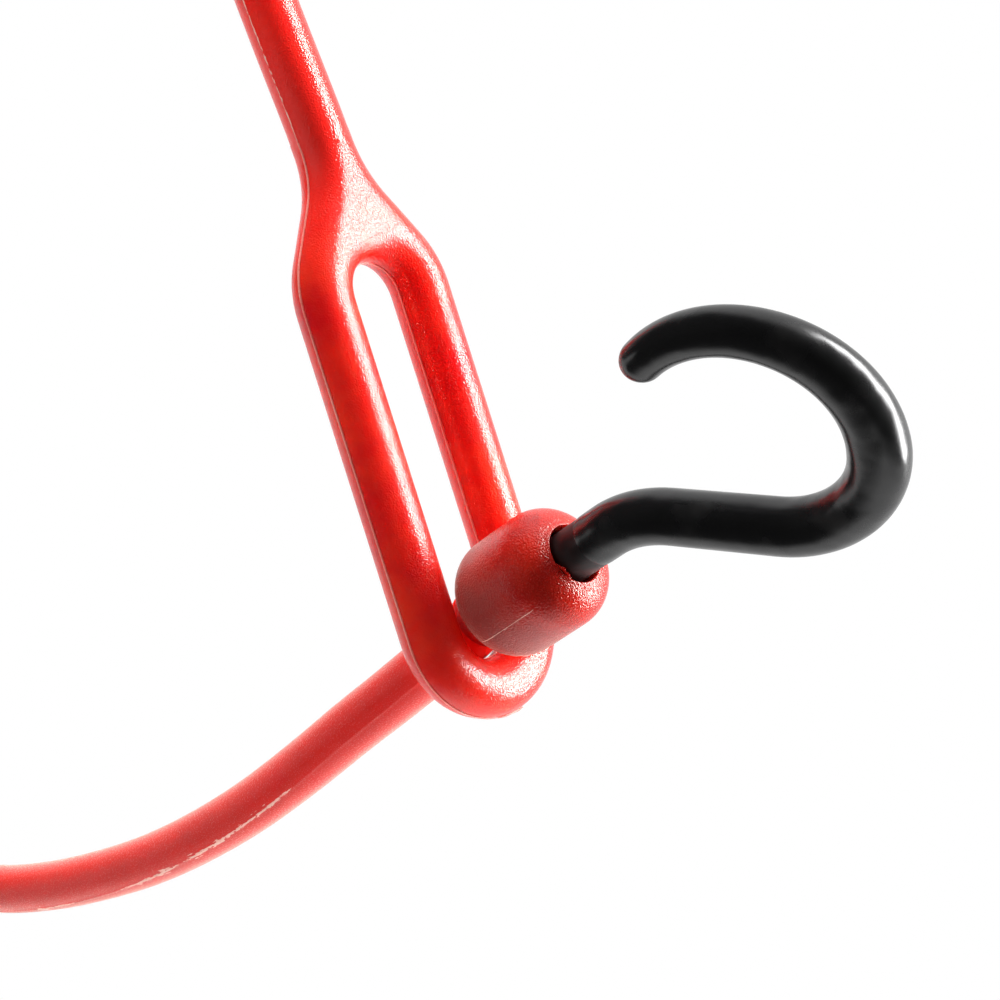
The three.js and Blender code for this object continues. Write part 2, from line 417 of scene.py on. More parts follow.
@dataclass(frozen=True)
class RedPolyurethane:
    """Translucent red polyurethane with a moulded grain and paler torn flash; where the mesh marks wear it
    is dulled and painted a darker shade, and at joints it is painted a brighter red as glow.
    """

    name: str
    pattern: Pattern = Pattern.OBJECT
    lit: Colour = (0.82, 0.044, 0.017, 1)
    deep: Colour = (0.68, 0.008, 0.014, 1)
    pale: Colour = (1.0, 0.58, 0.48, 1)
    # painted glow: a brighter red at the joints, standing in for light that scattering would carry across
    # them
    solid: Colour = (0.94, 0.018, 0.012, 1)
    # wear colour: duller and darker than the red, partly painted shade on the worn patches
    wear_and_shade_tone: Colour = (0.27, 0.050, 0.042, 1)
    smooth: float = 0.13
    dull: float = 0.25
    grain_size: float = 0.25 * MM
    grain_depth: float = 0.07 * MM
    glow: float = 1.0
    glow_reach: float = 8.0 * MM
    gloss: float = 0.85
    bloom: float = 0.0
    bloom_spread: float = 0.25
    matte_extra: float = 0.0
    girth: float = 28.9 * MM
    cloud_scale: float = 90.0
    shred_scale: float = 2200.0
    noise_rough: float = 0.6
    shred_stretch: Spot = (0.4, 1.0, 1.0)
    shred_depth: Pair = (0.3, 1.7)
    ragged_edge: Pair = (0.24, 0.34)
    # how noise breaks up the worn patch and its painted shade
    wear_shade_range: Pair = (0.3, 0.65)
    wear_shade_least: float = 0.55
    grain_range: Pair = (0.3, 0.75)
    glow_shares: Spot = (1.0, 0.06, 0.05)
    bloom_tint: Colour = (1.0, 0.75, 0.62, 1)
    gloss_tint: Colour = (1.0, 0.95, 0.89, 1)

    def build(self) -> bpy.types.Material:
        """Builds the material.

        Returns:
            The new material.
        """
        material, board = new_material(self.name)
        where = board.add("ShaderNodeTexCoord").outputs[self.pattern.value]
        if self.pattern is Pattern.UV:
            where = board.add("ShaderNodeMapping", Vector=where, Scale=(1, self.girth, 1)).outputs["Vector"]
        grain = board.speckle(where, 1 / self.grain_size, 0.0, self.noise_rough)
        cloud = board.speckle(where, self.cloud_scale, 3.0, self.noise_rough)
        lengthwise = board.add("ShaderNodeMapping", Vector=where, Scale=self.shred_stretch).outputs["Vector"]
        shreds = board.speckle(lengthwise, self.shred_scale, 3.0, self.noise_rough)
        flash, wear_and_shade, joint = board.mark("flash"), board.mark("wear_and_shade"), board.mark("joint")
        torn = board.calc("MULTIPLY", flash, board.span(shreds, *NOISE_RANGE, *self.shred_depth))
        ragged = board.span(torn, *self.ragged_edge, 0, 1)
        # worn patches: dulled, and painted the darker shade colour
        wear_and_shade_share = board.calc("MULTIPLY", wear_and_shade, board.span(cloud, *self.wear_shade_range, self.wear_shade_least, 1.0))
        colour = board.mix(board.span(cloud, *NOISE_RANGE, 0, 1), self.deep, self.lit)
        # painted glow: near the joints the red is painted brighter
        colour = board.mix(joint, colour, self.solid)
        colour = board.mix(wear_and_shade_share, colour, self.wear_and_shade_tone)
        colour = board.mix(ragged, colour, self.pale)
        rough = board.span(grain, *self.grain_range, self.smooth, self.dull)
        rough = board.calc("ADD", rough, board.calc("MULTIPLY", wear_and_shade, self.matte_extra))
        bump = board.add("ShaderNodeBump", Strength=1.0, Distance=self.grain_depth, Height=grain)
        glow = board.span(board.calc("ADD", joint, ragged), 0, 1, self.glow, 0) if self.glow else 0.0
        bloom = board.calc("MULTIPLY", wear_and_shade, self.bloom) if self.bloom else 0.0
        shader = board.add(
            "ShaderNodeBsdfPrincipled",
            Base_Color=colour,
            Roughness=rough,
            Normal=bump.outputs["Normal"],
            Specular_IOR_Level=self.gloss,
            Subsurface_Weight=glow,
            Subsurface_Radius=self.glow_shares,
            Subsurface_Scale=self.glow_reach,
            Sheen_Weight=bloom,
            Sheen_Roughness=self.bloom_spread,
            Sheen_Tint=self.bloom_tint,
            Specular_Tint=self.gloss_tint,
        )
        board.add("ShaderNodeOutputMaterial", Surface=shader.outputs["BSDF"])
        return material


@dataclass(frozen=True)
class BlackNylon:
    """Glossy black nylon, matte on the collar that turns in the bulb."""

    name: str
    black: Colour = (0.005, 0.005, 0.0053, 1)
    worn: Colour = (0.020, 0.019, 0.019, 1)
    smooth: float = 0.22
    uneven: float = 0.08
    matte: float = 0.44
    collar_end: float = 13.3 * MM
    collar_edge: float = 0.1 * MM
    cloud_scale: float = 140.0
    fine_scale: float = 1600.0
    sink_scale: float = 230.0
    sink_share: float = 40.0
    ripple: float = 0.006 * MM
    worn_range: Pair = (0.55, 0.75)
    worn_most: float = 0.6
    gloss: float = 0.66

    def build(self) -> bpy.types.Material:
        """Builds the material.

        Returns:
            The new material.
        """
        material, board = new_material(self.name)
        coords = board.add("ShaderNodeTexCoord").outputs
        place = board.add("ShaderNodeSeparateXYZ", Vector=coords["UV"]).outputs["X"]
        edge = (self.collar_end - self.collar_edge, self.collar_end + self.collar_edge)
        on_collar = board.span(place, *edge, 1, 0)
        cloud = board.speckle(coords["Object"], self.cloud_scale, 3.0)
        fine = board.speckle(coords["Object"], self.fine_scale, 2.0)
        sink = board.speckle(coords["Object"], self.sink_scale, 1.0)
        rough = board.span(cloud, *NOISE_RANGE, self.smooth, self.smooth + self.uneven)
        rough = board.calc("ADD", rough, board.calc("MULTIPLY", on_collar, self.matte - self.smooth))
        colour = board.mix(board.span(cloud, *self.worn_range, 0, self.worn_most), self.black, self.worn)
        height = board.calc("ADD", fine, board.calc("MULTIPLY", sink, self.sink_share))
        bump = board.add("ShaderNodeBump", Strength=1.0, Distance=self.ripple, Height=height)
        shader = board.add(
            "ShaderNodeBsdfPrincipled",
            Base_Color=colour,
            Roughness=rough,
            Normal=bump.outputs["Normal"],
            Specular_IOR_Level=self.gloss,
        )
        board.add("ShaderNodeOutputMaterial", Surface=shader.outputs["BSDF"])
        return material


@dataclass(frozen=True)
class PaleFloor:
    """Pale floor that the camera sees as white."""

    name: str
    colour: Colour = (0.9, 0.9, 0.9, 1)

    def build(self) -> bpy.types.Material:
        """Builds the material.

        Returns:
            The new material.
        """
        material, board = new_material(self.name)
        path = board.add("ShaderNodeLightPath")
        seen = board.calc("MAXIMUM", path.outputs["Is Camera Ray"], path.outputs["Is Glossy Ray"])
        seen = board.calc("MAXIMUM", seen, path.outputs["Is Transmission Ray"])
        plain = board.add("ShaderNodeBsdfDiffuse", Color=self.colour)
        white = board.add("ShaderNodeEmission", Color=(1, 1, 1, 1), Strength=1.0)
        parts = {0: seen, 1: plain.outputs["BSDF"], 2: white.outputs["Emission"]}
        both = board.add("ShaderNodeMixShader", None, parts)
        board.add("ShaderNodeOutputMaterial", Surface=both.outputs["Shader"])
        return material


# The pieces


@dataclass
class LoopEnd:
    """The slotted loop: two round legs, a rounded toe and a web that runs down into the cord."""

    finish: RedPolyurethane = RedPolyurethane("loop_red")
    flash_finish: RedPolyurethane = RedPolyurethane(
        "loop_flash_red", lit=(1.0, 0.32, 0.26, 1), deep=(0.95, 0.16, 0.13, 1),
        smooth=0.25, dull=0.40, glow=0.0,
    )
    leg: float = 9.0 * MM
    thickness: float = 9.2 * MM
    round_over: float = 4.4 * MM
    slot_width: float = 11.2 * MM
    slot_length: float = 62.7 * MM
    shoulder_rise: float = 4.5 * MM
    shoulder_slope: float = math.radians(34)
    shoulder_radius: float = 16.0 * MM
    neck_radius: float = 16.0 * MM
    neck_stub: float = 1.5 * MM
    neck_half: float = 4.6 * MM
    crossing_height: float = 14.99 * MM
    turn_steps: int = 12
    toe_steps: int = 48
    slot_steps: int = 32
    spare: float = 8.0 * MM
    round_steps: int = 10
    voxel: float = 0.36 * MM
    soften_share: float = 0.5
    soften_rounds: int = 14
    # where the painted joint glow fades out below the end face
    joint_run: Pair = (24.0 * MM, 2.0 * MM)
    flash_half: float = 0.09 * MM
    flash_proud: float = 0.12 * MM
    flash_short: float = 0.4 * MM
    flash_waves: Pairs = ((160.0, 0.6), (900.0, 0.5))
    flash_sway: float = 0.16
    flash_tint: Pair = (0.12, 0.4)
    gate_size: Spot = (2.9 * MM, 0.34 * MM, 0.7 * MM)
    gate_place: Spot = (1.1 * MM, 0.06 * MM, 0.0)
    gate_waves: Pairs = ((1.7, 0.5), (4.1, 0.2))
    gate_swell: float = 0.4
    gate_tint: Pair = (0.08, 0.3)

    @property
    def toe_round(self) -> float:
        """Radius of the toe's outer edge."""
        return self.slot_width / 2 + self.leg

    @property
    def slot_head(self) -> float:
        """Height of the centre of the slot's upper end."""
        return self.leg + self.slot_length - self.slot_width / 2

    @property
    def neck_height(self) -> float:
        """Height at which the shoulders' slopes would reach the neck."""
        rise = (self.toe_round - self.leg / 2) / math.tan(self.shoulder_slope)
        return self.slot_head + self.shoulder_rise + rise

    @property
    def end_height(self) -> float:
        """Height of the face that meets the cord."""
        return self.neck_height + self.neck_radius * math.tan(self.shoulder_slope / 2) + self.neck_stub

    def frame(self) -> Matrix:
        """Places the loop: its toe's outer edge at 0, the cord crossing it above."""
        return HANG.loop_frame() @ Matrix.Translation((0, -self.crossing_height, 0))

    def outer_line(self, beyond: float) -> list[Vector]:
        """Lists the outer edge from the neck's left side round the toe to its right side.

        Args:
            beyond: How far the line runs past the end face.

        Returns:
            Points of the open line.
        """
        slope = self.shoulder_slope
        shoulder_y = self.slot_head + self.shoulder_rise - self.shoulder_radius * math.tan(slope / 2)
        shoulder_x = self.toe_round - self.shoulder_radius
        neck_x = self.neck_half + self.neck_radius
        neck_y = self.end_height - self.neck_stub
        left = [Vector((-self.neck_half, self.end_height + beyond, 0))]
        left += flat_arc((-neck_x, neck_y), self.neck_radius, 0, -slope, self.turn_steps)
        shoulder = (-shoulder_x, shoulder_y)
        left += flat_arc(shoulder, self.shoulder_radius, math.pi - slope, math.pi, self.turn_steps)
        toe = flat_arc((0, self.toe_round), self.toe_round, math.pi, 2 * math.pi, self.toe_steps)
        right = [Vector((-point.x, point.y, 0)) for point in reversed(left)]
        return left + toe + right

    def slot_line(self) -> list[Vector]:
        """Lists the slot's edge once round.

        Returns:
            Points of the closed line.
        """
        half = self.slot_width / 2
        foot = flat_arc((0, self.leg + half), half, 2 * math.pi, math.pi, self.slot_steps)
        head = flat_arc((0, self.slot_head), half, math.pi, 0, self.slot_steps)
        return foot + head

    @staticmethod
    def curve(name: str, lines: Sequence[tuple[list[Vector], bool]]) -> Piece:
        """Makes a flat curve.

        Args:
            name: The curve's name.
            lines: Each line's points, and whether it is closed.

        Returns:
            The curve object.
        """
        data = bpy.data.curves.new(name, "CURVE")
        data.dimensions = "2D"
        for points, closed in lines:
            spline = data.splines.new("POLY")
            spline.points.add(len(points) - 1)
            for target, point in zip(spline.points, points):
                target.co = (point.x, point.y, 0, 1)
            spline.use_cyclic_u = closed
        piece = bpy.data.objects.new(name, data)
        bpy.context.collection.objects.link(piece)
        return piece

    def moulding(self) -> Piece:
        """Builds the loop as a plate with fully rounded edges, and cuts its end square.

        Returns:
            The loop's object.
        """
        plate = self.curve("loop_plate", [(self.outer_line(self.spare), True), (self.slot_line(), True)])
        plate.data.fill_mode = "BOTH"
        plate.data.bevel_depth = self.round_over
        plate.data.bevel_resolution = self.round_steps
        plate.data.offset = -self.round_over
        plate.data.extrude = self.thickness / 2 - self.round_over
        solid = finish_mesh("loop_solid", baked_mesh(plate))
        remesh = solid.modifiers.new("even", "REMESH")
        remesh.mode = "VOXEL"
        remesh.voxel_size = self.voxel
        soften = solid.modifiers.new("soften", "SMOOTH")
        soften.factor = self.soften_share
        soften.iterations = self.soften_rounds
        mesh = baked_mesh(solid)
        bmesh.ops.bisect_plane(
            mesh,
            geom=mesh.verts[:] + mesh.edges[:] + mesh.faces[:],
            plane_co=(0, self.end_height, 0),
            plane_no=(0, 1, 0),
            clear_outer=True,
        )
        rim = [edge for edge in mesh.edges if edge.is_boundary]
        bmesh.ops.contextual_create(mesh, geom=rim)
        # joint mark: less scattering near the end face, and a brighter red painted there as glow
        joint = mesh.verts.layers.float.new("joint")
        low, high = (self.end_height - below for below in self.joint_run)
        for vert in mesh.verts:
            vert[joint] = ramp(vert.co.y, low, high)
        self.lean_back(mesh)
        return finish_mesh("loop_end_moulding", mesh, self.frame())

    def lean_back(self, mesh: bmesh.types.BMesh) -> None:
        """Bends the neck a little away from the loop's face, as the hanging cord pulls it.

        Args:
            mesh: A piece of the loop in its own flat axes.
        """
        for vert in mesh.verts:
            past = max(0.0, vert.co.y - self.end_height + HANG.bend_run) / HANG.bend_run
            vert.co.z -= HANG.neck_bend * past**2

    def flash(self) -> Piece:
        """Builds the thin raised band that the mould's parting leaves round the loop.

        Returns:
            The band's object.
        """
        lines = [(self.outer_line(-self.flash_short), False), (self.slot_line(), True)]
        band = self.curve("flash_band", lines)
        band.data.fill_mode = "NONE"
        band.data.extrude = self.flash_half
        band.data.bevel_depth = self.flash_proud
        band.data.bevel_resolution = 2
        mesh = baked_mesh(band)
        tint = mesh.verts.layers.float.new("flash")
        for vert in mesh.verts:
            wobble = waves(vert.co, self.flash_waves)
            vert.co.z *= 1 + self.flash_sway * wobble
            vert[tint] = max(0.0, self.flash_tint[0] + self.flash_tint[1] * wobble)
        self.lean_back(mesh)
        return finish_mesh("loop_flash", mesh, self.frame())

    def gate(self) -> Piece:
        """Builds the torn stub that the mould's gate leaves under the toe.

        Returns:
            The stub's object.
        """
        mesh = bmesh.new()
        bmesh.ops.create_icosphere(mesh, subdivisions=4, radius=1.0)
        tint = mesh.verts.layers.float.new("flash")
        for vert in mesh.verts:
            rough = waves(vert.co, self.gate_waves)
            vert.co *= 1 + self.gate_swell * rough
            vert[tint] = max(0.0, self.gate_tint[0] + self.gate_tint[1] * rough)
        size = Matrix.Diagonal((*self.gate_size, 1))
        return finish_mesh("gate_stub", mesh, self.frame() @ Matrix.Translation(self.gate_place) @ size)

    def build(self) -> list[Piece]:
        """Builds and dresses the loop end.

        Returns:
            Its pieces.
        """
        body = dress(self.moulding(), Body.LOOP, Slot.RED, self.finish.build())
        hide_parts("loop_end")
        trim = self.flash_finish.build()
        return [
            body,
            dress(self.flash(), Body.LOOP, Slot.RED, trim),
            dress(self.gate(), Body.LOOP, Slot.RED, trim),
        ]


@dataclass
class Cord:
    """The elastic cord, from the loop's neck over the peg and round to the bulb."""

    # Both finishes dull the red where the mesh marks wear; the lower run's darker red is partly painted
    # shade.
    finish: RedPolyurethane = RedPolyurethane(
        "cord_red", pattern=Pattern.UV, wear_and_shade_tone=(0.74, 0.016, 0.016, 1), matte_extra=0.05
    )
    matte_finish: RedPolyurethane = RedPolyurethane(
        "cord_matte_red", pattern=Pattern.UV, wear_and_shade_tone=(0.60, 0.009, 0.008, 1), matte_extra=0.05,
        gloss=0.3, bloom=1.0, bloom_spread=0.34,
    )
    diameter: float = 9.2 * MM
    lead: float = 3.0 * MM
    face_gap: float = 0.3 * MM
    neck_overlap: float = 3.0 * MM
    bulb_overlap: float = 0.6 * MM
    sides: int = 52
    step: float = 1.1 * MM
    ridge: float = 0.11 * MM
    near_ridge: tuple[float, ...] = (-17, -12, -8, -5, -2.5, 0, 2.5, 5, 8, 12, 17)
    pale_line: Pair = (0.06, 0.10)
    matte_from: float = 0.30
    matte_to: float = 0.40
    # near the bulb the cord carries neither wear nor painted shade
    plain_end: Pair = (8.0 * MM, 20.0 * MM)
    # where the painted joint glow fades out from both ends
    joint_run: Pair = (2.0 * MM, 36.0 * MM)
    loop_end_height: float = 76.98 * MM
    bulb_neck: float = 0.96 * MM
    sag: float = 0.8 * MM
    route: Pairs = (
        (44.7, -37.7), (38.8, -26.7), (32.8, -15), (24.4, -4.5), (13, 2.2),
        (0, 4.6), (-14.5, 2.5), (-28, -4.3), (-40.5, -14.5), (-52, -28), (-63, -44.5),
        (-73, -62.5), (-82, -82), (-90, -103), (-96.8, -125), (-101.5, -147.5), (-103, -169),
        (-98.5, -188), (-88, -202), (-74, -209.3), (-57, -210.6), (-39.5, -207), (-23.7, -201.4),
        (-8.4, -194.5), (6.1, -186.9), (20, -178.2), (33.2, -168.7), (45.8, -158.4), (57.7, -148),
        (69.2, -138.2),
    )
    twist: Pairs = ((0.02, 0), (0.39, 52), (0.45, 37), (0.52, 24))
    frayed: Pairs = ((0.050, 0.112), (0.122, 0.140))
    fray_edge: float = 6.0 * MM
    fray_height: float = 0.35 * MM
    line_half: float = 5.0
    tuft_half: float = 17.0
    tuft_scale: float = 170.0
    strand_scale: float = 600.0
    strand_share: float = 0.5
    ridge_sway: float = 0.4
    fray_tint: Pair = (0.55, 0.5)
    tuft_tint: float = 1.6
    pale_share: float = 0.33
    slack: float = 0.01 * MM

    def points(self) -> list[Vector]:
        """Lists the route's points, with a straight lead at both ends.

        Returns:
            Points from the neck to the bulb.
        """
        crossing = Vector(HANG.crossing)
        start = crossing + HANG.loop_along() * (self.loop_end_height + self.face_gap)
        start -= HANG.loop_face() * HANG.neck_bend
        end = crossing + HANG.bulb_axis() * (self.bulb_neck - self.face_gap)
        middle = [Vector((x * MM, 0, z * MM)) for x, z in self.route]
        return [
            start,
            start + HANG.neck_along() * self.lead,
            *middle,
            end - HANG.bulb_axis() * self.lead - HANG.bulb_up() * self.sag,
            end,
        ]

    def line(self) -> list[Vector]:
        """Lists close points on the smooth line through the route's points.

        Returns:
            Points from the neck to the bulb.
        """
        points = self.points()
        padded = [points[0] * 2 - points[1], *points, points[-1] * 2 - points[-2]]
        line = [points[0]]
        for p0, p1, p2, p3 in zip(padded, padded[1:], padded[2:], padded[3:]):
            knots = [0.0]
            for a, b in ((p0, p1), (p1, p2), (p2, p3)):
                knots.append(knots[-1] + math.sqrt((b - a).length))
            steps = max(2, round((p2 - p1).length / self.step))
            for i in range(1, steps + 1):
                t = knots[1] + (knots[2] - knots[1]) * i / steps
                spots = [p0, p1, p2, p3]
                for level in (((0, 1), (1, 2), (2, 3)), ((0, 2), (1, 3)), ((1, 2),)):
                    spots = [
                        a.lerp(b, (t - knots[low]) / (knots[high] - knots[low]))
                        for a, b, (low, high) in zip(spots, spots[1:], level)
                    ]
                line += spots
        return line

    def section(self) -> list[Vector]:
        """Lists the round section's corners, crowded at the two parting ridges.

        Returns:
            Corners once round, from the viewer's ridge on.
        """
        near = [math.radians(a) for a in self.near_ridge]
        turns = []
        for side in (0.0, math.pi):
            turns += [side + a for a in near]
            count = self.sides // 2
            first, last = side + near[-1], side + math.pi + near[0]
            turns += [first + (last - first) * i / count for i in range(1, count)]
        return [Vector((math.cos(a), math.sin(a), 0)) * (self.diameter / 2) for a in turns]

    def build(self) -> Piece:
        """Returns:
            The cord's object.
        """
        line = self.line()
        places = [0.0]
        for a, b in zip(line, line[1:]):
            places.append(places[-1] + (b - a).length)
        viewer = Vector((0, -1, 0))
        frames = []
        for index, point in enumerate(line):
            ahead = (line[min(index + 1, len(line) - 1)] - line[max(index - 1, 0)]).normalized()
            turn = math.radians(between(places[index], self.twist))
            upright = Hang.placed(viewer, ahead.cross(viewer), ahead, point)
            frames.append(upright @ Matrix.Rotation(turn, 4, "Z"))
        frames[0] = frames[0] @ Matrix.Translation((0, 0, -self.neck_overlap))
        frames[-1] = frames[-1] @ Matrix.Translation((0, 0, self.bulb_overlap))

        sweep = Sweep(self.section()).run(frames, places)
        self.raise_ridges(sweep, line, places)
        sweep.map_uv()
        for face in sweep.mesh.faces:
            face.material_index = int(face.verts[0][sweep.along] > self.matte_from)
        piece = finish_mesh("cord_run", sweep.mesh)
        dress(piece, None, Slot.RED, self.finish.build(), self.matte_finish.build())
        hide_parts("cord")
        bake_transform(piece)
        return piece

    def raise_ridges(self, sweep: Sweep, line: Sequence[Vector], places: Sequence[float]) -> None:
        """Raises the parting ridges, and frays the one on the viewer's side near the bulb.

        Args:
            sweep: The swept tube.
            line: The cord's centreline.
            places: The distance along it of each point.
        """
        tint = sweep.mesh.verts.layers.float.new("flash")
        wear_and_shade = sweep.mesh.verts.layers.float.new("wear_and_shade")
        joint = sweep.mesh.verts.layers.float.new("joint")
        length = places[-1]
        count = len(sweep.section)
        for vert in sweep.mesh.verts:
            place = vert[sweep.along]
            before = length - place
            # wear on the lower run, dulled and painted a darker shade, left off near the bulb
            vert[wear_and_shade] = ramp(place, self.matte_from, self.matte_to) * ramp(before, *self.plain_end)
            # joint mark: less scattering near both ends, and a brighter red painted there as glow
            vert[joint] = 1 - ramp(min(place, before), *self.joint_run)
            side, spot = divmod(round(vert[sweep.around] * count), count // 2)
            if spot >= len(self.near_ridge):
                continue
            angle = self.near_ridge[spot]
            torn = max(
                ramp(before, a, a + self.fray_edge) * (1 - ramp(before, b - self.fray_edge, b))
                for a, b in self.frayed
            )
            torn = torn if side == 0 else 0.0
            tuft = noise.noise(Vector((place * self.tuft_scale, 0, 3)))
            tuft += self.strand_share * noise.noise(Vector((place * self.strand_scale, angle * 0.3, 7)))
            line_share = max(0.0, 1 - abs(angle) / self.line_half)
            tuft_share = max(0.0, 1 - abs(angle) / self.tuft_half) * max(0.0, tuft)
            height = self.ridge * line_share * (1 + self.ridge_sway * tuft)
            height += torn * tuft_share * self.fray_height
            outward = vert.co - line[bisect_left(places, place - self.slack)]
            vert.co += outward.normalized() * height
            pale = self.pale_share * line_share * (1 - ramp(place, *self.pale_line))
            frayed = line_share * (self.fray_tint[0] + self.fray_tint[1] * tuft)
            vert[tint] = max(pale, torn * max(frayed, self.tuft_tint * tuft_share, 0.0))


@dataclass
class Bulb:
    """The stop at the cord's end: a fat round barrel on a short neck, with a socket for the hook."""

    # the worn patch on the barrel's lower, viewer-facing rear flank is dulled and painted a darker shade
    finish: RedPolyurethane = RedPolyurethane(
        "bulb_red", lit=(0.56, 0.017, 0.006, 1), deep=(0.27, 0.003, 0.005, 1), smooth=0.17, dull=0.31,
        grain_size=0.26 * MM, grain_depth=0.10 * MM, glow=0.3, glow_reach=3.0 * MM,
        gloss=0.65, bloom=0.75, matte_extra=0.16,
    )
    seam_finish: RedPolyurethane = RedPolyurethane(
        "bulb_seam_red", lit=(0.72, 0.22, 0.18, 1), deep=(0.50, 0.10, 0.09, 1),
        smooth=0.30, dull=0.46, glow=0.0,
    )
    neck_finish: RedPolyurethane = RedPolyurethane(
        "bulb_neck_red", lit=(0.74, 0.014, 0.012, 1), deep=(0.60, 0.006, 0.008, 1), smooth=0.5, dull=0.62,
        glow_reach=5.0 * MM, gloss=0.08,
    )
    radius: float = 9.4 * MM
    neck: float = 4.7 * MM
    neck_end: float = 0.96 * MM
    rear: float = 3.36 * MM
    mouth: float = 24.36 * MM
    rear_round: float = 6.2 * MM
    flare: Pairs = ((4.75, 1.2), (4.95, 2.0), (5.35, 2.9), (5.85, 3.65), (6.4, 4.25))
    front_round: float = 5.9 * MM
    bore: float = 4.55 * MM
    lip: float = 0.22 * MM
    socket: float = 6.3 * MM
    socket_top: float = 19.86 * MM
    socket_foot: float = 15.26 * MM
    steps: int = 120
    rear_steps: int = 14
    front_steps: int = 18
    lip_steps: int = 4
    flare_gap: float = 0.2 * MM
    neck_paint: float = 1.2 * MM
    # where the worn patch, painted a darker shade, lies on the barrel
    wear_shade_starts: Pair = (1.5 * MM, 4.0 * MM)
    wear_shade_ends: Pair = (5.0 * MM, 13.0 * MM)
    wear_shade_faces: Pair = (-1.0 * MM, 7.0 * MM)
    wear_shade_rises: float = 0.4
    wear_shade_turns: float = 0.8
    seam_turn: float = math.radians(31)
    seam_ends: Pair = (3.2 * MM, 5.0 * MM)
    seam_half: float = 0.07 * MM
    seam_steps: int = 40
    seam_sides: int = 8
    seam_swell: Pair = (0.6, 0.4)
    seam_scale: float = 900.0
    seam_tint: float = 0.55
    tear: Pair = (math.radians(222), math.radians(264))
    tear_half: float = 0.55 * MM
    tear_thick: float = 0.12 * MM
    tear_lean: float = 0.22
    tear_inset: float = 0.08 * MM
    tear_sunk: float = 0.3 * MM
    tear_steps: int = 16
    tear_sides: int = 12
    tear_least: float = 0.12
    tear_swell: Pair = (0.8, 0.5)
    tear_scale: float = 9.0

    def profile(self) -> list[Vector]:
        """Lists the outer and inner profile as radius and height along the axis.

        Returns:
            Points from the neck's middle over the barrel and into the socket.
        """
        rear_centre = (self.radius - self.rear_round, self.rear + self.rear_round)
        front_centre = (self.radius - self.front_round, self.mouth - self.front_round)
        rear = flat_arc(rear_centre, self.rear_round, -math.pi / 2, 0, self.rear_steps)
        front = flat_arc(front_centre, self.front_round, 0, math.pi / 2, self.front_steps)
        lip_centre = (self.bore + self.lip, self.mouth - self.lip)
        lip = flat_arc(lip_centre, self.lip, math.pi / 2, math.pi, self.lip_steps)
        return [
            Vector((0, self.neck_end, 0)),
            Vector((self.neck, self.neck_end, 0)),
            *[Vector((x * MM, y * MM, 0)) for x, y in self.flare],
            *[point for point in rear if point.x > self.flare[-1][0] * MM + self.flare_gap],
            *[point for point in front if point.x > self.bore + self.lip],
            *lip,
            Vector((self.bore, self.socket_top, 0)),
            Vector((self.socket, self.socket_top, 0)),
            Vector((self.socket, self.socket_foot, 0)),
            Vector((0, self.socket_foot, 0)),
        ]

    def barrel(self) -> Piece:
        """Spins the profile into the bulb.

        Returns:
            The bulb's object.
        """
        mesh = bmesh.new()
        verts = [mesh.verts.new(point) for point in self.profile()]
        edges = [mesh.edges.new(pair) for pair in zip(verts, verts[1:])]
        bmesh.ops.spin(
            mesh,
            geom=verts + edges,
            axis=(0, 1, 0),
            cent=(0, 0, 0),
            angle=2 * math.pi,
            steps=self.steps,
            use_merge=True,
        )
        bmesh.ops.remove_doubles(mesh, verts=mesh.verts[:], dist=MERGE)
        # worn patch on the lower flank towards the viewer: dulled, and painted a darker shade
        wear_and_shade = mesh.verts.layers.float.new("wear_and_shade")
        for vert in mesh.verts:
            under = max(0.0, -vert.co.x)
            height = vert.co.y - self.rear
            past_neck = ramp(height, *self.wear_shade_starts)
            towards_rear = 1 - ramp(height - self.wear_shade_rises * under, *self.wear_shade_ends)
            towards_front = ramp(self.wear_shade_turns * under - vert.co.z, *self.wear_shade_faces)
            vert[wear_and_shade] = past_neck * towards_rear * towards_front
        for face in mesh.faces:
            face.material_index = int(face.calc_center_median().y < self.rear + self.neck_paint)
        return finish_mesh("bulb_barrel", mesh, HANG.bulb_frame())

    def seam(self) -> Piece:
        """Builds the thin ridge that the mould's parting leaves along the bulb's flank.

        Returns:
            The ridge's object.
        """
        outer = [point for point in self.profile() if point.x > self.bore and point.y > self.rear]
        last = self.seam_steps
        ends = [(0, self.rear + self.seam_ends[0]), (last, self.mouth - self.seam_ends[1])]
        heights = [between(i, ends) for i in range(last + 1)]
        spots = [Vector((between(y, [(p.y, p.x) for p in outer]), y, 0)) for y in heights]
        side = Vector((0, 0, 1))
        frames = []
        for index, spot in enumerate(spots):
            ahead = (spots[min(index + 1, last)] - spots[max(index - 1, 0)]).normalized()
            swell = self.seam_swell[0] + self.seam_swell[1] * noise.noise(spot * self.seam_scale)
            upright = Hang.placed(side, ahead.cross(side), ahead, spot)
            frames.append(upright @ Matrix.Diagonal((swell, swell, 1, 1)))
        sweep = Sweep(round_section(self.seam_half, self.seam_sides)).run(frames, [spot.y for spot in spots])
        tint = sweep.mesh.verts.layers.float.new("flash")
        for vert in sweep.mesh.verts:
            vert[tint] = self.seam_tint
        turn = Matrix.Rotation(math.pi / 2 + self.seam_turn, 4, "Y")
        return finish_mesh("bulb_seam", sweep.mesh, HANG.bulb_frame() @ turn)

